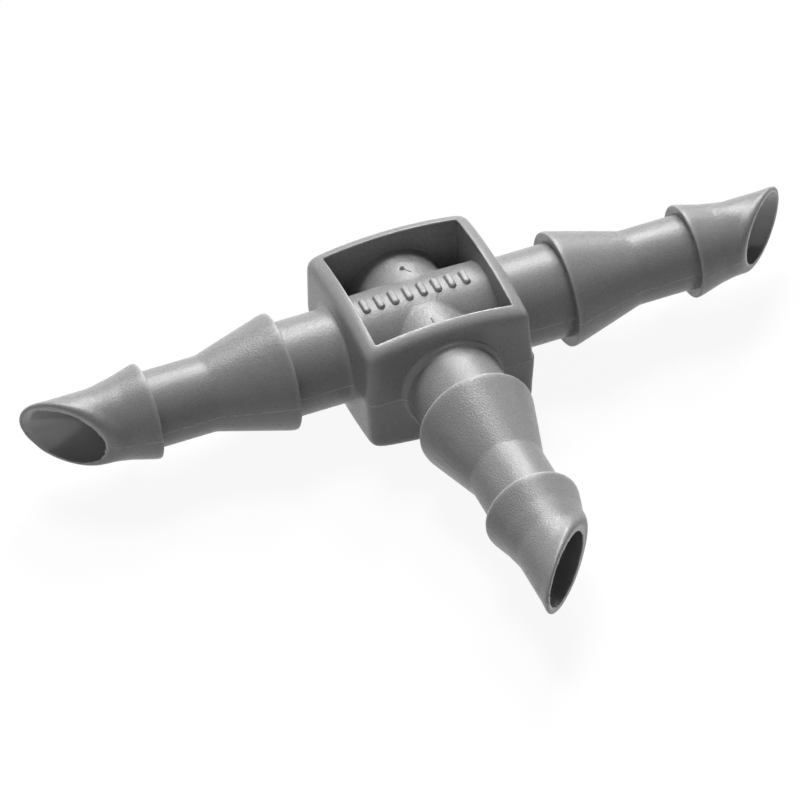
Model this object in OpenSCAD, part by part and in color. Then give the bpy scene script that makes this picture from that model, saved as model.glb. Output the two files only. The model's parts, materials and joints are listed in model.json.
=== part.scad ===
// Barbed tee for a thin drip hose, moulded in one piece.
// Two arms lie in line along X and make the run, and the branch leaves along -Y.
// A square frame stands round the crossing, open above and below, so the tubes show inside it.
// The middle plane z = 0 is the plane where the two halves of the mould meet.

/* [Hose seats] */
// Diameter of the neck that the hose grips, equal to the hose's inside diameter
neck_d = 4.6; // [4.2:0.1:5]
// Diameter of the plain stretch between the two barbs
waist_d = 3.66; // [3.4:0.02:3.9]
// Diameter of the tip beyond the small barb
tip_d = 3.56; // [3.4:0.02:3.7]

/* [Large barb] */
// Diameter over the crest of the large barb
large_barb_d = 5.7; // [5.3:0.05:6.1]
// Distance from the middle of the tee to the square back of the large barb
large_barb_at = 6.96; // [6.2:0.05:7.4]
// Length of the large barb, from its back to the end of its cone
large_barb_len = 3.94; // [3.4:0.05:4.4]

/* [Small barb] */
// Diameter over the crest of the small barb
small_barb_d = 4.68; // [4.4:0.02:5]
// Distance from the middle of the tee to the square back of the small barb
small_barb_at = 13.62; // [12.6:0.05:13.8]
// Length of the small barb, from its back to the end of its cone
small_barb_len = 2.18; // [1.8:0.02:2.3]

/* [Crests] */
// Length of the level land on each crest
crest_land = 0.2; // [0.1:0.02:0.3]
// Rounding between the back of a barb and its crest
crest_round = 0.12; // [0.05:0.01:0.2]

/* [Tips] */
// Distance from the middle of the tee to the slanting cut, along the axis of an arm
tip_reach = 17.72; // [17.7:0.1:19]
// Slant of the cut, measured from a square cut
tip_slant = 45; // [30:1:45]
// Length by which the sharp end of the slanting cut is blunted
tip_blunt = 0.16; // [0.05:0.01:0.3]

/* [Bores] */
// Diameter of the water way through the run and the branch
bore_d = 2.9; // [2.4:0.05:3]

/* [Frame] */
// Width of the square window inside the frame
window_w = 6.8; // [6.6:0.05:7.4]
// Thickness of the frame's walls
frame_wall = 0.77; // [0.6:0.01:1]
// Height of the dome over the rims, above the middle plane at the middle of the frame
dome_top = 3.64; // [3.4:0.02:4]
// Radius of the dome over the rims
dome_r = 20; // [16:1:28]
// Rounding of the outer edge of each rim
rim_round = 0.5; // [0.3:0.05:0.6]
// Rounding of the frame's upright corners
corner_round = 0.45; // [0.3:0.05:0.6]

/* [Tubes inside the frame] */
// Diameter of the run's tube at the middle of the frame
run_tube_d = 5.06; // [5:0.02:5.3]
// Diameter of the run's tube where it meets the frame
run_tube_end_d = 4.94; // [4.7:0.02:4.98]
// Diameter of the cross tube at the middle of the frame
cross_tube_d = 4.84; // [4.7:0.02:4.92]

/* [Collars] */
// Diameter of the flat collar round the root of each neck
collar_d = 5.06; // [4.9:0.02:5.4]
// Height of the collar above the frame's wall
collar_h = 0.1; // [0.05:0.01:0.2]

/* [Hidden] */

$fn = 96;
neck_r = neck_d / 2;
bore_r = bore_d / 2;
tip_r = tip_d / 2;
waist_r = waist_d / 2;

// Half widths of the frame, inside and outside
window_half = window_w / 2;
frame_half = window_half + frame_wall;

// An arm and an inner tube both start half way through the frame's wall
wall_root = window_half + frame_wall / 2;

// Reach of the tip on its long side
tip_end = tip_reach + tip_r * tan(tip_slant) - tip_blunt;

// Bodies that cut right through are this long
past = 30;

// Two faces that would only touch cross at this small angle instead
ease = 6;
// Share of a rounding's radius at which a straight side enters it
bite = 0.999;

// Height of the centre of the dome, which is also the axis of the coins
dome_centre = dome_top - dome_r;
// Centre of the rounding at the edge of a rim, from the frame's middle and from the coin's axis
shoulder_u = frame_half - rim_round;
shoulder_r = sqrt(pow(dome_r - rim_round, 2) - pow(shoulder_u, 2));
// Angle at which the rounding passes into the dome
shoulder_turn = asin(shoulder_u / (dome_r - rim_round)) + ease;

// Points of an arc about (x, y) from angle a to angle b
function arc(x, y, r, a, b, steps) =
    [for (i = [0 : steps]) [x + r * cos(a + (b - a) * i / steps), y + r * sin(a + (b - a) * i / steps)]];

// One barb as [radius, distance] points, from its square back to the foot of its cone
function barb(r, at, len, foot_r) = concat(
    arc(r - crest_round, at + crest_round, crest_round, -90, 0, 4),
    [[r, at + crest_round + crest_land], [foot_r, at + len]]
);

// Half outline of an arm, from inside the frame's wall to beyond the tip
module arm_outline() {
    polygon(concat(
        [[0, wall_root], [collar_d / 2, wall_root]],
        [[collar_d / 2, frame_half + collar_h], [neck_r, frame_half + collar_h]],
        [[neck_r, large_barb_at]],
        barb(large_barb_d / 2, large_barb_at, large_barb_len, waist_r),
        [[waist_r, small_barb_at]],
        barb(small_barb_d / 2, small_barb_at, small_barb_len, tip_r),
        [[tip_r, tip_end], [0, tip_end]]
    ));
}

// One arm along +X, with its tip cut on the slant and the long side towards +Y
module arm() {
    difference() {
        rotate([0, 90, 0])
            rotate_extrude()
                arm_outline();
        translate([tip_reach, 0, 0])
            rotate([0, 0, -tip_slant])
                translate([0, -past / 2, -past / 2])
                    cube(past);
    }
}

// Outline of a coin that stands on edge, as distance from its axis and place along it.
// Its sides are two outer walls of the frame, and its edge rounds two rims.
module coin_outline() {
    shoulder = arc(shoulder_r, shoulder_u, rim_round, 90, shoulder_turn, 4);
    top = shoulder[len(shoulder) - 1];
    polygon(concat(
        [[0, -frame_half], [0, frame_half]],
        shoulder,
        [[top.x + top.y * tan(shoulder_turn), 0]],
        [for (i = [len(shoulder) - 1 : -1 : 0]) [shoulder[i].x, -shoulder[i].y]]
    ));
}

// The coin with its axis along X
module coin() {
    rotate([0, 90, 0])
        rotate_extrude()
            coin_outline();
}

// One half of the frame's block: walls, rounded shoulders and dome above, open below
module half_block() {
    translate([0, 0, dome_centre])
        intersection() {
            sphere(dome_r);
            coin();
            rotate([0, 0, 90])
                coin();
        }
}

// Plan of the frame, whose only work is to round the upright corners
module corner_plan() {
    lean = 2 * ease;
    centre = frame_half - corner_round;
    near = centre + bite * corner_round * cos(lean);
    far = centre + bite * corner_round * sin(lean);
    flank = near + far * tan(lean);
    polygon([
        for (turn = [0 : 90 : 270], p = [[flank, 0], [near, far], [far, near]])
            [p.x * cos(turn) - p.y * sin(turn), p.x * sin(turn) + p.y * cos(turn)]
    ]);
    for (x = [-1, 1], y = [-1, 1])
        translate([x * centre, y * centre])
            circle(corner_round);
}

// The solid block of the frame, before its window is cut
module frame_block() {
    intersection() {
        half_block();
        rotate([180, 0, 0])
            half_block();
        translate([0, 0, -dome_top])
            linear_extrude(2 * dome_top)
                corner_plan();
    }
}

// The square frame with its window open above and below
module frame() {
    difference() {
        frame_block();
        cube([window_w, window_w, past], center = true);
    }
}

// A tube inside the frame, along X, thickest in the middle
module inner_tube(middle_r, end_r) {
    for (way = [0, 180])
        rotate([0, 0, way])
            rotate([0, 90, 0])
                cylinder(h = wall_root, r1 = middle_r, r2 = end_r);
}

// The whole tee, with the water ways bored last so that they stay clear from end to end
module tee() {
    color("dimgray")
        difference() {
            union() {
                frame();
                inner_tube(run_tube_d / 2, run_tube_end_d / 2);
                rotate([0, 0, 90])
                    inner_tube(cross_tube_d / 2, neck_r);
                arm();
                mirror([1, 0, 0])
                    arm();
                rotate([0, 0, -90])
                    mirror([0, 1, 0])
                        arm();
            }
            rotate([0, 90, 0])
                cylinder(h = 2 * past, r = bore_r, center = true);
            rotate([90, 0, 0])
                cylinder(h = past, r = bore_r);
        }
}

tee();
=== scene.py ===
"""A barbed tee for a thin drip hose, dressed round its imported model.

The tee is one grey moulding: three barbed arms with slanting tips leave a small square frame that
stands open above and below, and the tubes cross inside it.  The visual body keeps the model's form
and sizes, and adds what a mould gives: soft fillets, blunt rims, draft, a mould line and a fine
eroded grain.
"""

from __future__ import annotations

import json
import logging
import math
from dataclasses import astuple, dataclass
from typing import Any

import bpy
from mathutils import Matrix, Vector

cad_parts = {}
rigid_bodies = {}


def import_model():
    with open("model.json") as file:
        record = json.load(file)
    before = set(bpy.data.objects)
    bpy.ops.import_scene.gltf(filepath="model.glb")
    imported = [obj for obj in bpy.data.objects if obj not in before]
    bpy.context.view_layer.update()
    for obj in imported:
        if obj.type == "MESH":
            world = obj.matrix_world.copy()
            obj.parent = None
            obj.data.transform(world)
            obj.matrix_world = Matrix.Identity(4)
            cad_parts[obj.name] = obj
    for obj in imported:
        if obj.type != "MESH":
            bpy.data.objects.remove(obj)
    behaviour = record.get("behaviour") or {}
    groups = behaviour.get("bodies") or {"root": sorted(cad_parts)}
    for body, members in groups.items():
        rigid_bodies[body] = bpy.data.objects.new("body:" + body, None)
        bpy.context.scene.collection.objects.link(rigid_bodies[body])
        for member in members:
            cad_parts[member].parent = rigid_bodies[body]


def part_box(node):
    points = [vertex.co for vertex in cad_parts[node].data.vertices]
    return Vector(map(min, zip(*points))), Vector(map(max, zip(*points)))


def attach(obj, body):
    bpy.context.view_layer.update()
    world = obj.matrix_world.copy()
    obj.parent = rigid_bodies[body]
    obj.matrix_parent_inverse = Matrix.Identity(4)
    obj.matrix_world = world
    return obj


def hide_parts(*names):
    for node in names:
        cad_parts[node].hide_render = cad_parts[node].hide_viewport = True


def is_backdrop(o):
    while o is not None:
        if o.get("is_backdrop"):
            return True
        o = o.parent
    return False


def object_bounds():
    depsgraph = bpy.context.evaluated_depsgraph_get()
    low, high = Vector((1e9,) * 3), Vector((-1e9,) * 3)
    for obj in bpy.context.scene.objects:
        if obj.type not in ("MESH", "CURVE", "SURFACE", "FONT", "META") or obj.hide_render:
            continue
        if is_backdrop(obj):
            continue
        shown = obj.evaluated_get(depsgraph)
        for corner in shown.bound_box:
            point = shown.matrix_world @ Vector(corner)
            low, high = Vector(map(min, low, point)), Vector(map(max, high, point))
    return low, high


LOG = logging.getLogger("drip_tee")

MM = 0.001

# Half width of the frame's window, and where the arms and the inner tubes start in its walls, in millimetres
WINDOW_HALF = 3.4
WALL_ROOT = 3.8


class Term:
    """A number inside a node tree, which takes part in plain Python sums."""

    def __init__(self, graph: Graph, socket: bpy.types.NodeSocket) -> None:
        """Wraps a socket.

        Args:
            graph: The tree that the socket belongs to.
            socket: The output socket that carries the number.
        """
        self.graph = graph
        self.socket = socket

    def __add__(self, other: Term | float) -> Term:
        """The sum of two numbers."""
        return self.graph.maths("ADD", self, other)

    __radd__ = __add__

    def __sub__(self, other: Term | float) -> Term:
        """This number less the other."""
        return self.graph.maths("SUBTRACT", self, other)

    def __rsub__(self, other: Term | float) -> Term:
        """The other number less this one."""
        return self.graph.maths("SUBTRACT", other, self)

    def __mul__(self, other: Term | float) -> Term:
        """The product of two numbers."""
        return self.graph.maths("MULTIPLY", self, other)

    __rmul__ = __mul__

    def __truediv__(self, other: Term | float) -> Term:
        """This number over the other."""
        return self.graph.maths("DIVIDE", self, other)

    def __neg__(self) -> Term:
        """This number with its sign turned."""
        return self.graph.maths("MULTIPLY", self, -1.0)

    def size(self) -> Term:
        """This number without its sign."""
        return self.graph.maths("ABSOLUTE", self)

    def root(self) -> Term:
        """The square root of this number."""
        return self.graph.maths("SQRT", self)

    def least(self, other: Term | float, blend: float = 0.0) -> Term:
        """The smaller of two numbers: as distances, two bodies joined.

        Args:
            other: The other number.
            blend: Difference under which the two pass softly into each other.

        Returns:
            The smaller number, or the blend of both.
        """
        if blend > 0.0:
            return self.graph.maths("SMOOTH_MIN", self, other, blend)
        return self.graph.maths("MINIMUM", self, other)

    def most(self, other: Term | float, blend: Term | float = 0.0) -> Term:
        """The larger of two numbers: as distances, what two bodies share.

        Args:
            other: The other number.
            blend: Difference under which the two pass softly into each other.

        Returns:
            The larger number, or the blend of both.
        """
        if isinstance(blend, Term) or blend > 0.0:
            return self.graph.maths("SMOOTH_MAX", self, other, blend)
        return self.graph.maths("MAXIMUM", self, other)

    def ramp(self, low: float, high: float, start: float = 0.0, end: float = 1.0) -> Term:
        """Goes softly from one value to another while this number crosses a range.

        Args:
            low: Where the ramp starts.
            high: Where it ends.
            start: Value up to the start.
            end: Value past the end.

        Returns:
            The value of the ramp.
        """
        node = self.graph.node(
            "ShaderNodeMapRange",
            {"interpolation_type": "SMOOTHSTEP"},
            {"Value": self, "From Min": low, "From Max": high, "To Min": start, "To Max": end},
        )
        return Term(self.graph, node.outputs["Result"])


class Graph:
    """Builds the nodes of one tree."""

    def __init__(self, tree: bpy.types.NodeTree) -> None:
        """Wraps a tree.

        Args:
            tree: The node tree that the nodes go into.
        """
        self.tree = tree

    def node(
        self,
        kind: str,
        settings: dict[str, Any] | None = None,
        inputs: dict[str | int, Any] | None = None,
    ) -> bpy.types.Node:
        """Adds one node.

        Args:
            kind: The node's type.
            settings: Its properties, set before its sockets.
            inputs: Values or links of its input sockets, by name or place.

        Returns:
            The new node.
        """
        node = self.tree.nodes.new(kind)
        for name, value in (settings or {}).items():
            setattr(node, name, value)
        for name, value in (inputs or {}).items():
            self.feed(node.inputs[name], value)
        return node

    def feed(self, target: bpy.types.NodeSocket, value: Any) -> None:
        """Links or sets one input socket.

        Args:
            target: The input socket.
            value: A term or a socket to link, or a plain value.
        """
        if isinstance(value, Term):
            value = value.socket
        if isinstance(value, bpy.types.NodeSocket):
            self.tree.links.new(value, target)
        else:
            target.default_value = value

    def maths(self, operation: str, *terms: Term | float) -> Term:
        """Adds a Math node.

        Args:
            operation: What the node works out.
            terms: Its numbers, in the order of its sockets.

        Returns:
            The result.
        """
        node = self.node("ShaderNodeMath", {"operation": operation}, dict(enumerate(terms)))
        return Term(self, node.outputs["Value"])

    def vector_maths(self, operation: str, *vectors: Any) -> bpy.types.NodeSocket:
        """Adds a Vector Math node.

        Args:
            operation: What the node works out.
            vectors: Its vectors, in the order of its sockets.

        Returns:
            The resulting vector's socket.
        """
        node = self.node("ShaderNodeVectorMath", {"operation": operation}, dict(enumerate(vectors)))
        return node.outputs["Vector"]

    def scaled(self, vector: bpy.types.NodeSocket, factor: Term | float) -> bpy.types.NodeSocket:
        """Multiplies a vector by a number.

        Args:
            vector: The vector.
            factor: The number.

        Returns:
            The scaled vector's socket.
        """
        node = self.node("ShaderNodeVectorMath", {"operation": "SCALE"}, {0: vector, "Scale": factor})
        return node.outputs["Vector"]

    def parts(self, vector: bpy.types.NodeSocket) -> tuple[Term, Term, Term]:
        """Splits a vector.

        Args:
            vector: The vector.

        Returns:
            Its three numbers.
        """
        node = self.node("ShaderNodeSeparateXYZ", None, {"Vector": vector})
        return tuple(Term(self, node.outputs[axis]) for axis in "XYZ")

    def noise(self, place: bpy.types.NodeSocket, scale: float, detail: float) -> Term:
        """Adds a Noise Texture.

        Args:
            place: Where the noise is read.
            scale: How many waves it has to a unit of place.
            detail: How many finer waves lie on top.

        Returns:
            The noise, about 0.5 in the mean.
        """
        node = self.node("ShaderNodeTexNoise", None, {"Vector": place, "Scale": scale, "Detail": detail})
        return Term(self, node.outputs[0])

    def grey(self, level: Term) -> bpy.types.NodeSocket:
        """Makes a grey colour of one level."""
        return self.node("ShaderNodeCombineColor", None, {0: level, 1: level, 2: level}).outputs[0]

    def seen(self) -> Term:
        """Is 1 for what the camera sees, straight or by a reflection or through glass, and 0 for light."""
        path = self.node("ShaderNodeLightPath")
        labels = ("Is Camera Ray", "Is Glossy Ray", "Is Transmission Ray")
        straight, mirrored, through = (Term(self, path.outputs[label]) for label in labels)
        return straight.most(mirrored).most(through)

    def vector(self, x: Term | float, y: Term | float, z: Term | float) -> bpy.types.NodeSocket:
        """Joins three numbers to a vector.

        Args:
            x: The first number.
            y: The second number.
            z: The third number.

        Returns:
            The vector's socket.
        """
        node = self.node("ShaderNodeCombineXYZ", None, {"X": x, "Y": y, "Z": z})
        return node.outputs["Vector"]


def geometry_tree(
    name: str, inputs: dict[str, str], outputs: dict[str, str]
) -> tuple[Graph, bpy.types.Node, bpy.types.Node]:
    """Starts a Geometry Nodes tree.

    Args:
        name: The tree's name.
        inputs: Name and socket type of each input.
        outputs: Name and socket type of each output.

    Returns:
        The graph, and its input and output nodes.
    """
    tree = bpy.data.node_groups.new(name, "GeometryNodeTree")
    for label, kind in inputs.items():
        tree.interface.new_socket(name=label, in_out="INPUT", socket_type=kind)
    for label, kind in outputs.items():
        tree.interface.new_socket(name=label, in_out="OUTPUT", socket_type=kind)
    graph = Graph(tree)
    return graph, graph.node("NodeGroupInput"), graph.node("NodeGroupOutput")


def set_input(modifier: bpy.types.Modifier, label: str, value: Any) -> None:
    """Sets one named input of a Geometry Nodes modifier.

    Args:
        modifier: The modifier.
        label: The input's name in the tree.
        value: Its value.
    """
    for item in modifier.node_group.interface.items_tree:
        if item.item_type == "SOCKET" and item.in_out == "INPUT" and item.name == label:
            modifier[item.identifier] = value
            return
    raise KeyError(label)


def empty_carrier(name: str) -> bpy.types.Object:
    """Makes an empty mesh object that carries the modifiers of a new piece.

    Args:
        name: The object's name.

    Returns:
        The object, linked to the scene.
    """
    carrier = bpy.data.objects.new(name, bpy.data.meshes.new(name))
    bpy.context.scene.collection.objects.link(carrier)
    return carrier


def plain_mesh(carrier: bpy.types.Object, name: str) -> bpy.types.Object:
    """Turns what an object's modifiers make into a plain mesh object.

    Args:
        carrier: The object that carries the modifiers, which is removed.
        name: Name of the new object.

    Returns:
        The new object, with no modifiers.
    """
    bpy.context.view_layer.update()
    depsgraph = bpy.context.evaluated_depsgraph_get()
    mesh = bpy.data.meshes.new_from_object(carrier.evaluated_get(depsgraph), depsgraph=depsgraph)
    mesh.name = name
    bpy.data.objects.remove(carrier)
    piece = bpy.data.objects.new(name, mesh)
    bpy.context.scene.collection.objects.link(piece)
    return piece


@dataclass(frozen=True)
class Barb:
    """One barb of an arm, in millimetres: a square back, a narrow crest and a long cone."""

    back: float
    crest_radius: float
    land: float
    cone_slope: float
    undercut: float = 0.16
    back_blend: float = 0.15
    crest_blend: float = 0.09

    def form(self, reach: Term, radius: Term) -> Term:
        """Distance to the barb's surface.

        Args:
            reach: Distance from the middle of the tee along the arm.
            radius: Distance from the arm's axis.

        Returns:
            The distance, negative inside.
        """
        fall = (reach - (self.back + self.land)) * self.cone_slope
        cone = (radius + fall - self.crest_radius) * math.cos(math.atan(self.cone_slope))
        crest = cone.most(radius - self.crest_radius, self.crest_blend)
        hollow = (self.crest_radius - radius).most(0.0) * self.undercut
        return crest.most(self.back - reach + hollow, self.back_blend)


@dataclass(frozen=True)
class Tip:
    """The cut end of an arm, in millimetres, with the water way that opens in it."""

    reach: Term | float = 17.72
    slant: Term | float = 1.0
    rim_blend: Term | float = 0.32
    nose_blend: Term | float = 0.10
    mouth_radius: Term | float = 1.52
    core_shift: Term | float = 0.0

    def past_cut(self, reach: Term, long_side: Term) -> Term:
        """How far a place lies beyond the slanting cut, along the arm.

        Args:
            reach: Distance from the middle of the tee along the arm.
            long_side: Distance from the axis towards the long side of the tip.

        Returns:
            The distance, negative before the cut.
        """
        return reach - long_side * self.slant - self.reach

    def mixed(self, other: Tip, share: Term) -> Tip:
        """A tip that passes into another.

        Args:
            other: The other tip.
            share: 0 for this tip and 1 for the other.

        Returns:
            The tip with terms in place of its numbers.
        """
        return Tip(*(share * (there - here) + here for here, there in zip(astuple(self), astuple(other))))


@dataclass(frozen=True)
class Arm:
    """One barbed arm, in millimetres, from the frame to its slanting tip."""

    large: Barb = Barb(back=6.99, crest_radius=2.84, land=0.20, cone_slope=0.280)
    small: Barb = Barb(back=13.62, crest_radius=2.31, land=0.14, cone_slope=0.270)
    neck_radius: float = 2.305
    neck_overlap: float = 0.4
    neck_blend: float = 0.03
    waist_radius: float = 1.84
    waist_from: float = 0.1
    waist_to: float = 0.8
    tip_radius: float = 1.78
    tip_swell: float = 0.18
    swell_from: float = 1.28
    swell_to: float = 2.68
    lip_length: float = 0.9
    lip_level: float = 0.1
    long_lip: float = 0.04
    short_lip: float = 0.06
    short_at: float = -1.2
    long_at: float = 0.9
    collar_radius: float = 2.56
    collar_end: float = 4.20
    collar_blend: float = 0.10
    foot_blend: float = 0.06
    bore_radius: float = 1.45
    mouth_from: float = 15.2
    mouth_to: float = 17.4
    edge_blend: float = 0.05
    nose_from: float = 0.5
    nose_to: float = 1.4
    nose_depth: float = 0.6
    nose_level: float = 0.1
    flash: float = 0.05
    flash_depth: float = 0.16
    flash_level: float = 0.02

    def form(self, reach: Term, radius: Term, long_side: Term, tip: Tip) -> Term:
        """Distance to the arm's surface.

        Args:
            reach: Distance from the middle of the tee along the arm.
            radius: Distance from the arm's axis.
            long_side: Distance from the axis towards the long side of the slanting tip.
            tip: The arm's tip.

        Returns:
            The distance, negative inside.
        """
        past_barb = reach - self.small.back
        swollen_radius = self.tip_radius + self.tip_swell
        swollen = past_barb.ramp(self.waist_from, self.waist_to, self.waist_radius, swollen_radius)
        slim = radius - swollen + past_barb.ramp(self.swell_from, self.swell_to, 0.0, self.tip_swell)
        past_cut = tip.past_cut(reach, long_side)
        flare = long_side.ramp(self.short_at, self.long_at, self.short_lip, self.long_lip)
        lip = past_cut.ramp(-self.lip_length, -self.lip_level) * flare
        neck = (radius - self.neck_radius).most(reach - (self.large.back + self.neck_overlap))
        collar = (radius - self.collar_radius).most(reach - self.collar_end, self.collar_blend)
        body = (slim - lip).least(self.large.form(reach, radius), self.foot_blend)
        body = body.least(self.small.form(reach, radius), self.foot_blend)
        body = body.least(neck, self.neck_blend).least(collar, self.collar_blend)
        return body.most(past_cut * math.sqrt(0.5), tip.rim_blend)

    def bored(
        self, body: Term, reach: Term, radius: Term, long_side: Term, ragged: Term, tip: Tip
    ) -> Term:
        """Cuts the water way, which has a thin ragged flash round its mouth.

        Args:
            body: Distance to the surface of what is cut.
            reach: Distance from the middle of the tee along the arm.
            radius: Distance from the water way's axis.
            long_side: Distance from the axis towards the long side of the slanting tip.
            ragged: How far the flash stands out here, from 0 to 1.
            tip: The arm's tip.

        Returns:
            The distance to the cut surface.
        """
        past_cut = tip.past_cut(reach, long_side)
        flash = past_cut.ramp(-self.flash_depth, -self.flash_level) * ragged * self.flash
        opened = reach.ramp(self.mouth_from, self.mouth_to) * (tip.mouth_radius - self.bore_radius)
        wall = opened + self.bore_radius - radius - flash
        nose = past_cut.ramp(-self.nose_depth, -self.nose_level)
        edge = long_side.ramp(self.nose_from, self.nose_to) * nose
        return body.most(wall, edge * (tip.nose_blend - self.edge_blend) + self.edge_blend)


@dataclass(frozen=True)
class Frame:
    """The square frame, in millimetres: domed rims round a window, and a faint ledge along one side."""

    window_half: float = WINDOW_HALF
    half: float = 4.19
    draft: float = 0.03
    dome_top: float = 3.64
    dome_radius: float = 20.0
    rim_blend: float = 0.86
    corner_blend: float = 0.80
    window_blend: float = 0.10
    window_corner_blend: float = 0.12
    ledge: float = 0.09
    ledge_depth: float = 2.2
    ledge_step: float = 0.04

    def form(self, x: Term, y: Term, z: Term) -> Term:
        """Distance to the frame's surface.

        Args:
            x: Place along the run.
            y: Place along the branch.
            z: Height over the mould's parting plane.

        Returns:
            The distance, negative inside.
        """
        up = z.size()
        half = self.half - up * self.draft
        below = z.ramp(-self.ledge_step, 0.0, 1.0, 0.0) * up.ramp(0.0, self.ledge_depth, self.ledge, 0.0)
        right_half = half + below * x.ramp(self.window_half, self.half)
        walls = (x.size() - right_half).most(y.size() - half, self.corner_blend)
        drop = up - (self.dome_top - self.dome_radius)
        dome = (x * x + y * y + drop * drop).root() - self.dome_radius
        window = self.window_half - x.size().most(y.size(), self.window_corner_blend)
        return walls.most(dome, self.rim_blend).most(window, self.window_blend)


@dataclass(frozen=True)
class InnerTube:
    """A tube inside the frame, in millimetres, thickest in the middle."""

    middle_radius: float
    end_radius: float
    half_length: float = WALL_ROOT
    window_half: float = WINDOW_HALF

    def form(self, along: Term, radius: Term) -> Term:
        """Distance to the tube's surface.

        Args:
            along: Distance from the middle of the tee along the tube.
            radius: Distance from the tube's axis.

        Returns:
            The distance, negative inside.
        """
        taper = (self.middle_radius - self.end_radius) / self.window_half
        skin = radius - (self.middle_radius - along * taper)
        return skin.most(along - self.half_length)


@dataclass(frozen=True)
class Skin:
    """How finely the body's mesh is made, in millimetres and triangles."""

    cell: float = 0.066
    density_fall: float = 0.25
    margin: float = 0.3
    triangles: int = 185_000
    gradient_step: float = 0.012
    settle_rounds: int = 3


@dataclass
class TeeBody:
    """The whole moulding as one closed skin, worked out from the distance to its surface."""

    plastic: bpy.types.Material
    run_arm: Arm = Arm(collar_radius=2.40, collar_end=4.12)
    branch_arm: Arm = Arm(collar_end=4.32, collar_blend=0.30)
    frame: Frame = Frame()
    run_tube: InnerTube = InnerTube(middle_radius=2.53, end_radius=2.47)
    cross_tube: InnerTube = InnerTube(middle_radius=2.42, end_radius=2.29)
    skin: Skin = Skin()
    left_tip: Tip = Tip(
        reach=17.71, rim_blend=0.42, nose_blend=0.40, mouth_radius=1.50, core_shift=-0.10
    )
    right_tip: Tip = Tip(reach=17.79, rim_blend=0.32, nose_blend=0.08)
    branch_tip: Tip = Tip(reach=17.72, slant=1.05, mouth_radius=1.46, core_shift=-0.08)
    distance: bpy.types.NodeTree | None = None
    crossing_blend: float = 0.14
    run_root_blend: float = 0.50
    branch_root_blend: float = 0.12
    root_reach: float = WALL_ROOT
    core_from: float = 13.0
    core_to: float = 17.0
    tips_meet: float = 1.0
    ragged_scale: float = 4.5
    ragged_from: float = 0.40
    ragged_to: float = 0.62

    def distance_tree(self) -> bpy.types.NodeTree:
        """Builds the tree that gives the distance to the tee's surface, in millimetres.

        Returns:
            The tree, with a place as its input.
        """
        graph, given, result = geometry_tree(
            "tee_distance", {"Place": "NodeSocketVector"}, {"Distance": "NodeSocketFloat"}
        )
        place = graph.scaled(given.outputs["Place"], 1.0 / MM)
        x, y, z = graph.parts(place)
        run_reach = x.size()
        run_radius = (y * y + z * z).root()
        branch_reach = -y
        branch_radius = (x * x + z * z).root()

        tubes = self.run_tube.form(run_reach, run_radius).least(
            self.cross_tube.form(y.size(), branch_radius), self.crossing_blend
        )
        body = self.frame.form(x, y, z).least(tubes)
        run_tip = self.left_tip.mixed(self.right_tip, x.ramp(-self.tips_meet, self.tips_meet))
        run_arms = self.run_arm.form(run_reach, run_radius, y, run_tip).most(self.root_reach - run_reach)
        branch = self.branch_arm.form(branch_reach, branch_radius, -x, self.branch_tip)
        branch = branch.most(self.root_reach - branch_reach)
        body = body.least(run_arms, self.run_root_blend).least(branch, self.branch_root_blend)

        ragged = graph.noise(place, self.ragged_scale, 1.0).ramp(self.ragged_from, self.ragged_to)
        low = z - run_reach.ramp(self.core_from, self.core_to) * run_tip.core_shift
        body = self.run_arm.bored(body, run_reach, (y * y + low * low).root(), y, ragged, run_tip)
        aside = x - branch_reach.ramp(self.core_from, self.core_to) * self.branch_tip.core_shift
        branch_core = (aside * aside + z * z).root().most(y + self.run_arm.bore_radius)
        body = self.branch_arm.bored(body, branch_reach, branch_core, -x, ragged, self.branch_tip)
        graph.feed(result.inputs["Distance"], body)
        return graph.tree

    def skin_tree(self, distance: bpy.types.NodeTree) -> bpy.types.NodeTree:
        """Builds the tree that wraps a fine mesh round the tee.

        Args:
            distance: The tree that gives the distance to the surface.

        Returns:
            The tree, with the box and the size of a cell as its inputs.
        """
        graph, given, result = geometry_tree(
            "tee_skin",
            {
                "Geometry": "NodeSocketGeometry",
                "Lowest": "NodeSocketVector",
                "Highest": "NodeSocketVector",
                "Cell": "NodeSocketFloat",
            },
            {"Geometry": "NodeSocketGeometry"},
        )
        cell = Term(graph, given.outputs["Cell"])
        place = graph.node("GeometryNodeInputPosition")
        depth = graph.node("GeometryNodeGroup", {"node_tree": distance}, {"Place": place.outputs[0]})
        density = 0.5 - Term(graph, depth.outputs["Distance"]) * (self.skin.density_fall * MM) / cell
        span = graph.vector_maths("SUBTRACT", given.outputs["Highest"], given.outputs["Lowest"])
        cells = [graph.maths("ROUND", side / cell) for side in graph.parts(span)]
        volume = graph.node(
            "GeometryNodeVolumeCube",
            None,
            {
                "Density": density.least(1.0).most(0.0),
                "Min": given.outputs["Lowest"],
                "Max": given.outputs["Highest"],
                "Resolution X": cells[0],
                "Resolution Y": cells[1],
                "Resolution Z": cells[2],
            },
        )
        wrapped = graph.node(
            "GeometryNodeVolumeToMesh",
            {"resolution_mode": "GRID"},
            {"Volume": volume.outputs[0], "Threshold": 0.5},
        )
        graph.feed(result.inputs["Geometry"], wrapped.outputs["Mesh"])
        return graph.tree

    def settle_tree(self, distance: bpy.types.NodeTree) -> bpy.types.NodeTree:
        """Builds the tree that moves every point onto the true surface.

        Args:
            distance: The tree that gives the distance to the surface.

        Returns:
            The tree, with the material as its input.
        """
        graph, given, result = geometry_tree(
            "tee_settle",
            {"Geometry": "NodeSocketGeometry", "Plastic": "NodeSocketMaterial"},
            {"Geometry": "NodeSocketGeometry"},
        )
        step = self.skin.gradient_step * MM

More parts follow.
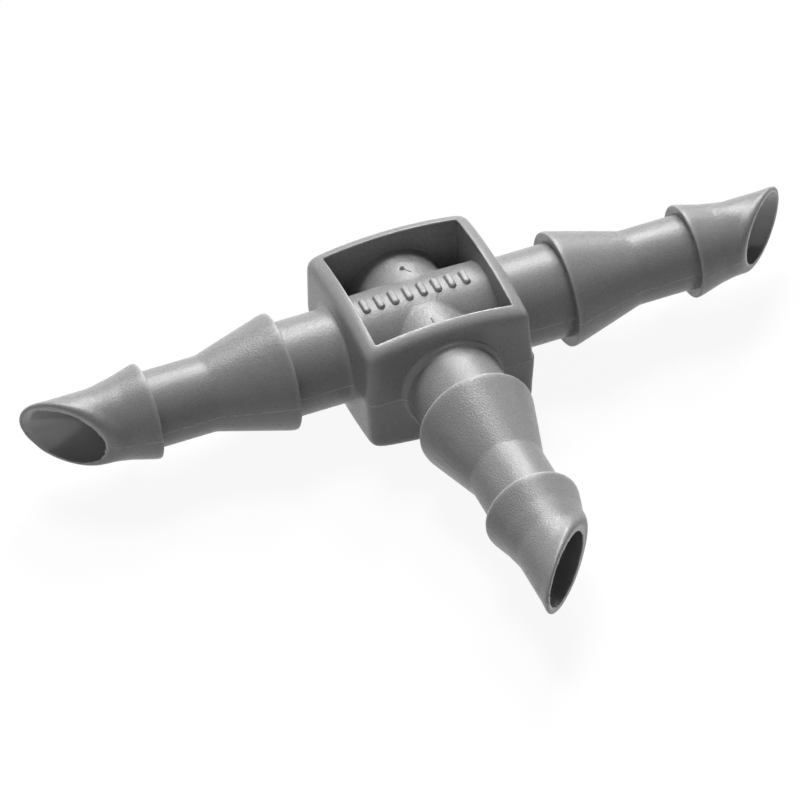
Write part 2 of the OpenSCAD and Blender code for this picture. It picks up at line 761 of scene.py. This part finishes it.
        def depth_at(place: bpy.types.NodeSocket) -> Term:
            """The distance to the surface from a place."""
            node = graph.node("GeometryNodeGroup", {"node_tree": distance}, {"Place": place})
            return Term(graph, node.outputs["Distance"])

        def slope_at(place: bpy.types.NodeSocket) -> bpy.types.NodeSocket:
            """The direction in which the distance to the surface grows fastest."""
            slopes = []
            for axis in range(3):
                offset = tuple(step if i == axis else 0.0 for i in range(3))
                ahead = depth_at(graph.vector_maths("ADD", place, offset))
                behind = depth_at(graph.vector_maths("SUBTRACT", place, offset))
                slopes.append(ahead - behind)
            return graph.vector_maths("NORMALIZE", graph.vector(*slopes))

        flow = given.outputs["Geometry"]
        for _ in range(self.skin.settle_rounds):
            place = graph.node("GeometryNodeInputPosition").outputs[0]
            back = graph.scaled(slope_at(place), depth_at(place) * -MM)
            moved = graph.node("GeometryNodeSetPosition", None, {"Geometry": flow, "Offset": back})
            flow = moved.outputs["Geometry"]
        facing = slope_at(graph.node("GeometryNodeInputPosition").outputs[0])
        stored = graph.node(
            "GeometryNodeStoreNamedAttribute",
            {"data_type": "FLOAT_VECTOR", "domain": "POINT"},
            {"Geometry": flow, "Name": "facing", "Value": facing},
        )
        smooth = graph.node("GeometryNodeSetShadeSmooth", None, {"Geometry": stored.outputs["Geometry"]})
        dressed = graph.node(
            "GeometryNodeSetMaterial",
            None,
            {"Geometry": smooth.outputs["Geometry"], "Material": given.outputs["Plastic"]},
        )
        real = graph.node("GeometryNodeRealizeInstances", None, {"Geometry": dressed.outputs["Geometry"]})
        graph.feed(result.inputs["Geometry"], real.outputs["Geometry"])
        return graph.tree

    def build(self) -> bpy.types.Object:
        """Makes the body's mesh, with its normals taken from the true surface.

        Returns:
            The body as a plain mesh object.
        """
        low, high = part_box("tee")
        margin = Vector((self.skin.margin,) * 3) * MM
        distance = self.distance = self.distance_tree()
        carrier = empty_carrier("tee_carrier")

        wrap = carrier.modifiers.new("skin", "NODES")
        wrap.node_group = self.skin_tree(distance)
        set_input(wrap, "Lowest", low - margin)
        set_input(wrap, "Highest", high + margin)
        set_input(wrap, "Cell", self.skin.cell * MM)
        raw = plain_mesh(carrier, "tee_raw")
        faces = len(raw.data.polygons)

        thin = raw.modifiers.new("thin", "DECIMATE")
        thin.ratio = min(1.0, self.skin.triangles / (2.0 * faces))
        settle = raw.modifiers.new("settle", "NODES")
        settle.node_group = self.settle_tree(distance)
        set_input(settle, "Plastic", self.plastic)
        body = plain_mesh(raw, "tee_body")
        facing = body.data.attributes["facing"]
        normals = [tuple(item.vector) for item in facing.data]
        body.data.normals_split_custom_set_from_vertices(normals)
        body.data.attributes.remove(facing)
        LOG.info("body: %d faces from %d", len(body.data.polygons), faces)
        return body


@dataclass(frozen=True)
class RaisedMark:
    """A row of equal raised pads on top of the inner tubes, in millimetres and degrees."""

    name: str
    centre: tuple[float, float]
    length: float
    width: float
    height: float
    turn: float = 0.0
    count: int = 1
    pitch: float = 0.0
    corner: float = 0.06
    shoulder: float = 0.11
    skirt: float = 0.02
    skirt_drop: float = 0.3
    root: float = 0.10
    crown: float = 2.5
    steps_along: int = 25
    steps_across: int = 13
    landing_rounds: int = 3

    def tree(self, distance: bpy.types.NodeTree) -> bpy.types.NodeTree:
        """Builds the tree that lays the pads in a row and lands them on the moulding.

        Args:
            distance: The tree that gives the distance to the moulding's surface.

        Returns:
            The tree, with the sizes of a pad and of the row as its inputs.
        """
        graph, given, result = geometry_tree(
            "tee_" + self.name,
            {
                "Geometry": "NodeSocketGeometry",
                "Length": "NodeSocketFloat",
                "Width": "NodeSocketFloat",
                "Height": "NodeSocketFloat",
                "Count": "NodeSocketInt",
                "Pitch": "NodeSocketFloat",
                "Plastic": "NodeSocketMaterial",
            },
            {"Geometry": "NodeSocketGeometry"},
        )
        length, width, height, pitch = (
            Term(graph, given.outputs[label]) for label in ("Length", "Width", "Height", "Pitch")
        )
        count = given.outputs["Count"]
        pad = graph.node(
            "GeometryNodeMeshCube",
            None,
            {
                "Size": graph.vector(width, length, 1.0),
                "Vertices X": self.steps_across,
                "Vertices Y": self.steps_along,
                "Vertices Z": 2,
            },
        )
        across, along, level = graph.parts(graph.node("GeometryNodeInputPosition").outputs[0])
        over_x = across.size() - width * 0.5 + self.corner
        over_y = along.size() - length * 0.5 + self.corner
        rounded = (over_x.most(0.0) * over_x.most(0.0) + over_y.most(0.0) * over_y.most(0.0)).root()
        edge = rounded + over_x.most(over_y).least(0.0) - self.corner
        rise = (-edge).ramp(-self.skirt, self.shoulder, -self.skirt_drop, 1.0) * height
        under_or_top = level.ramp(-0.5, 0.5, -self.root, rise)
        shaped = graph.node(
            "GeometryNodeStoreNamedAttribute",
            {"data_type": "FLOAT", "domain": "POINT"},
            {"Geometry": pad.outputs["Mesh"], "Name": "rise", "Value": under_or_top},
        )
        flat = graph.node(
            "GeometryNodeSetPosition",
            None,
            {"Geometry": shaped.outputs["Geometry"], "Position": graph.vector(across, along, 0.0)},
        )
        first = (1.0 - Term(graph, count)) * pitch * 0.5
        row = graph.node(
            "GeometryNodeMeshLine",
            None,
            {
                "Count": count,
                "Start Location": graph.vector(first, 0.0, 0.0),
                "Offset": graph.vector(pitch, 0.0, 0.0),
            },
        )
        placed = graph.node(
            "GeometryNodeInstanceOnPoints",
            None,
            {"Points": row.outputs["Mesh"], "Instance": flat.outputs["Geometry"]},
        )
        pads = graph.node("GeometryNodeRealizeInstances", None, {"Geometry": placed.outputs["Instances"]})
        turned = graph.node(
            "GeometryNodeTransform",
            None,
            {
                "Geometry": pads.outputs["Geometry"],
                "Translation": (*self.centre, self.crown),
                "Rotation": (0.0, 0.0, math.radians(self.turn)),
            },
        )
        flow = graph.node(
            "GeometryNodeTransform", None, {"Geometry": turned.outputs["Geometry"], "Scale": (MM, MM, MM)}
        ).outputs["Geometry"]
        rise_here = graph.node("GeometryNodeInputNamedAttribute", {"data_type": "FLOAT"}, {"Name": "rise"})
        target = Term(graph, rise_here.outputs["Attribute"])
        for _ in range(self.landing_rounds):
            place = graph.node("GeometryNodeInputPosition").outputs[0]
            depth = graph.node("GeometryNodeGroup", {"node_tree": distance}, {"Place": place})
            lift = (target - Term(graph, depth.outputs["Distance"])) * MM
            flow = graph.node(
                "GeometryNodeSetPosition", None, {"Geometry": flow, "Offset": graph.vector(0.0, 0.0, lift)}
            ).outputs["Geometry"]
        smooth = graph.node("GeometryNodeSetShadeSmooth", None, {"Geometry": flow})
        real = graph.node("GeometryNodeRealizeInstances", None, {"Geometry": smooth.outputs["Geometry"]})
        dressed = graph.node(
            "GeometryNodeSetMaterial",
            None,
            {"Geometry": real.outputs["Geometry"], "Material": given.outputs["Plastic"]},
        )
        graph.feed(result.inputs["Geometry"], dressed.outputs["Geometry"])
        return graph.tree

    def build(self, distance: bpy.types.NodeTree, plastic: bpy.types.Material) -> bpy.types.Object:
        """Makes the mark's mesh.

        Args:
            distance: The tree that gives the distance to the moulding's surface.
            plastic: The moulding's material.

        Returns:
            The mark as a plain mesh object.
        """
        carrier = empty_carrier(self.name + "_carrier")
        press = carrier.modifiers.new("press", "NODES")
        press.node_group = self.tree(distance)
        for label, value in (
            ("Length", self.length),
            ("Width", self.width),
            ("Height", self.height),
            ("Count", self.count),
            ("Pitch", self.pitch),
            ("Plastic", plastic),
        ):
            set_input(press, label, value)
        mark = plain_mesh(carrier, self.name)
        LOG.info("%s: %d faces", self.name, len(mark.data.polygons))
        return mark


@dataclass(frozen=True)
class MouldedPlastic:
    """Grey satin plastic, sizes in millimetres.

    The grain comes from the eroded mould and the seam from where its halves meet. Painted highlights lie
    along the seam and on the barbs' crests, and painted light lifts the colour inside the water ways.
    """

    colour: float = 0.32
    mottle: float = 0.05
    roughness: float = 0.30
    roughness_spread: float = 0.10
    grain: float = 0.075
    coarse_rate: float = 0.45
    coarse_share: float = 0.15
    sparkle_rate: float = 1.2
    grain_height: float = 0.027
    frame_grain: float = 0.5
    grain_tone: float = 0.20
    cloud_scale: float = 0.9
    seam_half_width: float = 0.045
    seam_height: float = 0.022
    # Painted highlight along the seam, and the noise that breaks it into patches
    seam_highlight: float = 0.70
    seam_patch_scale: float = 1.6
    seam_patch_from: float = 0.35
    seam_patch_to: float = 0.55
    # Painted highlight on the barb crests, for light caught on their rounded edges: where it lies, how
    # strong
    crest_lead: float = 0.09
    crest_edge: float = 0.05
    crest_land: float = 0.08
    crest_length: float = 0.42
    crest_depth: float = 0.10
    crest_top: float = 0.01
    crest_highlight_strength: float = 0.30
    bore_from: float = 0.1
    bore_to: float = 0.2
    bore_roughness: float = 0.14
    # Painted light that lifts the colour inside the water ways, where little light reaches
    bore_painted_light: float = 0.40
    glow: float = 1.0
    glow_depth: float = 0.35
    frame_margin: float = 0.06
    frame_fade: float = 0.05
    arm: Arm = Arm()
    frame: Frame = Frame()

    def crest(self, barb: Barb, reach: Term, radius: Term) -> Term:
        """How strongly a painted highlight lies on one crest, fading from its edge down the cone.

        Args:
            barb: The barb.
            reach: Distance from the middle of the tee along the arm.
            radius: Distance from the arm's axis.

        Returns:
            1 on the crest's edge, and 0 elsewhere.
        """
        start = barb.back - self.crest_lead
        behind = reach.ramp(start - self.crest_edge, start)
        ahead = reach.ramp(start + self.crest_land, start + self.crest_length, 1.0, 0.0)
        out = radius.ramp(barb.crest_radius - self.crest_depth, barb.crest_radius - self.crest_top)
        return behind * ahead * out

    def painted_crest_highlight(self, reach: Term, radius: Term) -> Term:
        """How strongly a painted highlight lies on the crests of an arm.

        Args:
            reach: Distance from the middle of the tee along the arm.
            radius: Distance from the arm's axis.

        Returns:
            1 on a crest, and 0 elsewhere.
        """
        large = self.crest(self.arm.large, reach, radius)
        return large.most(self.crest(self.arm.small, reach, radius))

    def material(self) -> bpy.types.Material:
        """Builds the material.

        Returns:
            The material.
        """
        material = bpy.data.materials.new("moulded_plastic")
        material.use_nodes = True
        graph = Graph(material.node_tree)
        shader = material.node_tree.nodes["Principled BSDF"]
        object_place = graph.node("ShaderNodeTexCoord").outputs["Object"]
        place = graph.scaled(object_place, 1.0 / MM)
        x, y, z = graph.parts(place)

        wall = x.size().most(y.size())
        inner = self.frame.window_half
        outer = self.frame.half + self.frame_margin
        on_frame = wall.ramp(inner - self.frame_fade, inner + self.frame_fade)
        on_frame = on_frame * wall.ramp(outer - self.frame_fade, outer + self.frame_fade, 1.0, 0.0)

        fine = graph.noise(place, 1.0 / self.grain, 2.0)
        coarse = graph.noise(place, self.coarse_rate / self.grain, 1.0)
        cloud = graph.noise(place, self.cloud_scale, 2.0)
        sparkle = graph.noise(place, self.sparkle_rate / self.grain, 1.0)
        pits = fine + (coarse - fine) * self.coarse_share
        pits = pits * on_frame.ramp(0.0, 1.0, 1.0, self.frame_grain)
        run_radius = (y * y + z * z).root()
        branch_radius = (x * x + z * z).root()
        bore = self.arm.bore_radius
        branch_core = branch_radius.most(y + bore)
        outside = run_radius.least(branch_core).ramp(bore + self.bore_from, bore + self.bore_to)
        seam = z.size().ramp(0.0, self.seam_half_width, 1.0, 0.0) * outside
        # Painted highlight on the barb crests, standing in for light caught on their rounded edges
        painted_crest_highlight = self.painted_crest_highlight(x.size(), run_radius).most(self.painted_crest_highlight(-y, branch_radius))
        # Noise that breaks the painted highlight along the seam into patches
        seam_patches = graph.noise(place, self.seam_patch_scale, 2.0).ramp(self.seam_patch_from, self.seam_patch_to)

        height = pits * outside * self.grain_height + seam * self.seam_height
        bump = graph.node("ShaderNodeBump", None, {"Strength": 1.0, "Distance": MM, "Height": height})
        cast = (cloud - 0.5) * (2.0 * self.mottle) + (sparkle - 0.5) * outside * (2.0 * self.grain_tone)
        # Painted light: a highlight along the seam and on the crests, and lifted colour inside the water
        # ways
        painted_light = seam * seam_patches * self.seam_highlight + painted_crest_highlight * self.crest_highlight_strength
        painted_light = painted_light + (1.0 - outside) * self.bore_painted_light
        tone = self.colour * (1.0 + cast + painted_light)
        rough = self.roughness + (sparkle - 0.5) * (2.0 * self.roughness_spread)
        rough = outside * (rough - self.bore_roughness) + self.bore_roughness
        graph.feed(shader.inputs["Base Color"], graph.grey(tone))
        graph.feed(shader.inputs["Roughness"], rough)
        graph.feed(shader.inputs["Normal"], bump.outputs["Normal"])
        graph.feed(shader.inputs["Subsurface Weight"], self.glow)
        graph.feed(shader.inputs["Subsurface Radius"], (1.0, 1.0, 1.0))
        graph.feed(shader.inputs["Subsurface Scale"], self.glow_depth * MM)
        return material


@dataclass(frozen=True)
class SoftLamp:
    """A soft lamp far away: degrees round from the front, up and across, and its share of the light."""

    name: str
    azimuth: float
    elevation: float
    share: float
    breadth: float = 60.0

    def build(self) -> bpy.types.Object:
        """Makes the lamp, turned towards the tee.

        Returns:
            The lamp.
        """
        data = bpy.data.lights.new(self.name, "SUN")
        data.angle = math.radians(self.breadth)
        data.energy = self.share * math.pi
        lamp = bpy.data.objects.new(self.name, data)
        bpy.context.scene.collection.objects.link(lamp)
        turn = Matrix.Rotation(math.radians(self.azimuth), 4, "Z")
        tilt = Matrix.Rotation(math.radians(90.0 - self.elevation), 4, "X")
        lamp.matrix_world = turn @ tilt
        return lamp


@dataclass(frozen=True)
class Studio:
    """The pale floor, the white surroundings and the soft lamps."""

    lamps: tuple[SoftLamp, ...] = (
        SoftLamp("low_key_lamp", azimuth=150.0, elevation=38.0, share=0.51, breadth=14.0),
        SoftLamp("high_key_lamp", azimuth=172.0, elevation=60.0, share=0.81, breadth=22.0),
        SoftLamp("left_lamp", azimuth=295.0, elevation=34.0, share=0.06),
        SoftLamp("front_lamp", azimuth=328.0, elevation=10.0, share=0.066),
    )
    floor_colour: float = 0.44
    floor_seen_colour: float = 0.96
    floor_roughness: float = 0.7
    floor_half: float = 3.0
    floor_white: float = 0.92
    fill: float = 0.005

    def floor(self, height: float) -> bpy.types.Object:
        """Makes the floor, whose pale colour is lifted to white in the camera's view.

        Args:
            height: The floor's height, in metres.

        Returns:
            The floor.
        """
        half = self.floor_half
        corners = [(x * half, y * half, height) for x, y in ((-1, -1), (1, -1), (1, 1), (-1, 1))]
        mesh = bpy.data.meshes.new("floor")
        mesh.from_pydata(corners, [], [(0, 1, 2, 3)])
        floor = bpy.data.objects.new("floor", mesh)
        bpy.context.scene.collection.objects.link(floor)

        material = bpy.data.materials.new("pale_floor")
        material.use_nodes = True
        graph = Graph(material.node_tree)
        shader = material.node_tree.nodes["Principled BSDF"]
        seen = graph.seen()
        tone = self.floor_colour + seen * (self.floor_seen_colour - self.floor_colour)
        graph.feed(shader.inputs["Base Color"], graph.grey(tone))
        graph.feed(shader.inputs["Roughness"], self.floor_roughness)
        glow = graph.node("ShaderNodeEmission", None, {"Color": (1.0, 1.0, 1.0, 1.0), "Strength": 1.0})
        lifted = graph.node(
            "ShaderNodeMixShader",
            None,
            {0: seen * self.floor_white, 1: shader.outputs["BSDF"], 2: glow.outputs["Emission"]},
        )
        graph.feed(material.node_tree.nodes["Material Output"].inputs["Surface"], lifted.outputs["Shader"])
        mesh.materials.append(material)
        return floor

    def world(self) -> None:
        """Makes the white surroundings, which light the tee only dimly."""
        world = bpy.data.worlds.new("studio")
        bpy.context.scene.world = world
        world.use_nodes = True
        graph = Graph(world.node_tree)
        background = world.node_tree.nodes["Background"]
        graph.feed(background.inputs["Color"], (1.0, 1.0, 1.0, 1.0))
        graph.feed(background.inputs["Strength"], self.fill + graph.seen() * (1.0 - self.fill))

    def build(self, height: float) -> None:
        """Makes the studio.

        Args:
            height: The floor's height, in metres.
        """
        self.floor(height)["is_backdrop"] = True
        self.world()
        for lamp in self.lamps:
            lamp.build()
        bpy.context.scene.view_settings.view_transform = "Standard"


@dataclass(frozen=True)
class Viewpoint:
    """The camera, at the photograph's place: millimetres, degrees and pixels."""

    place: tuple[float, float, float] = (-58.855, -162.517, 151.017)
    azimuth: float = -19.542
    tilt: float = 48.047
    roll: float = -3.364
    focal_pixels: float = 4863.1
    frame_pixels: float = 800.0
    sensor: float = 36.0
    nearest: float = 10.0

    def build(self) -> bpy.types.Object:
        """Makes the scene's camera.

        Returns:
            The camera.
        """
        data = bpy.data.cameras.new("camera")
        data.sensor_width = self.sensor
        data.lens = self.sensor * self.focal_pixels / self.frame_pixels
        data.clip_start = self.nearest * MM
        camera = bpy.data.objects.new("camera", data)
        bpy.context.scene.collection.objects.link(camera)
        turn = (
            Matrix.Rotation(math.radians(self.azimuth), 4, "Z")
            @ Matrix.Rotation(math.radians(self.tilt), 4, "X")
            @ Matrix.Rotation(math.radians(self.roll), 4, "Z")
        )
        camera.matrix_world = Matrix.Translation(Vector(self.place) * MM) @ turn
        bpy.context.scene.camera = camera
        return camera


RIBS = RaisedMark(
    "tee_ribs",
    centre=(-0.15, -0.02),
    length=1.08,
    width=0.44,
    height=0.14,
    count=8,
    pitch=0.72,
    corner=0.22,
)
PIP = RaisedMark("tee_pip", centre=(0.0, 1.92), length=0.30, width=0.30, height=0.15, corner=0.15)
TAIL = RaisedMark(
    "tee_gate_tail", centre=(0.17, 1.68), length=0.55, width=0.14, height=0.07, turn=37.0, corner=0.07
)
TICK = RaisedMark(
    "tee_front_tick", centre=(-0.08, -2.1), length=0.42, width=0.14, height=0.08, corner=0.06
)
MARKS = (RIBS, PIP, TAIL, TICK)


def main() -> None:
    """Builds the tee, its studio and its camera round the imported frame."""
    logging.basicConfig(level=logging.INFO, format="%(name)s: %(message)s")
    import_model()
    cad_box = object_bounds()
    Viewpoint().build()
    Studio().build(cad_box[0][2])
    LOG.info("studio and camera stand")

    plastic = MouldedPlastic().material()
    tee = TeeBody(plastic)
    body = tee.build()
    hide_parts("tee")
    pieces = [body, *(mark.build(tee.distance, plastic) for mark in MARKS)]
    for piece in pieces:
        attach(piece, "root")


if __name__ == "__main__":
    main()
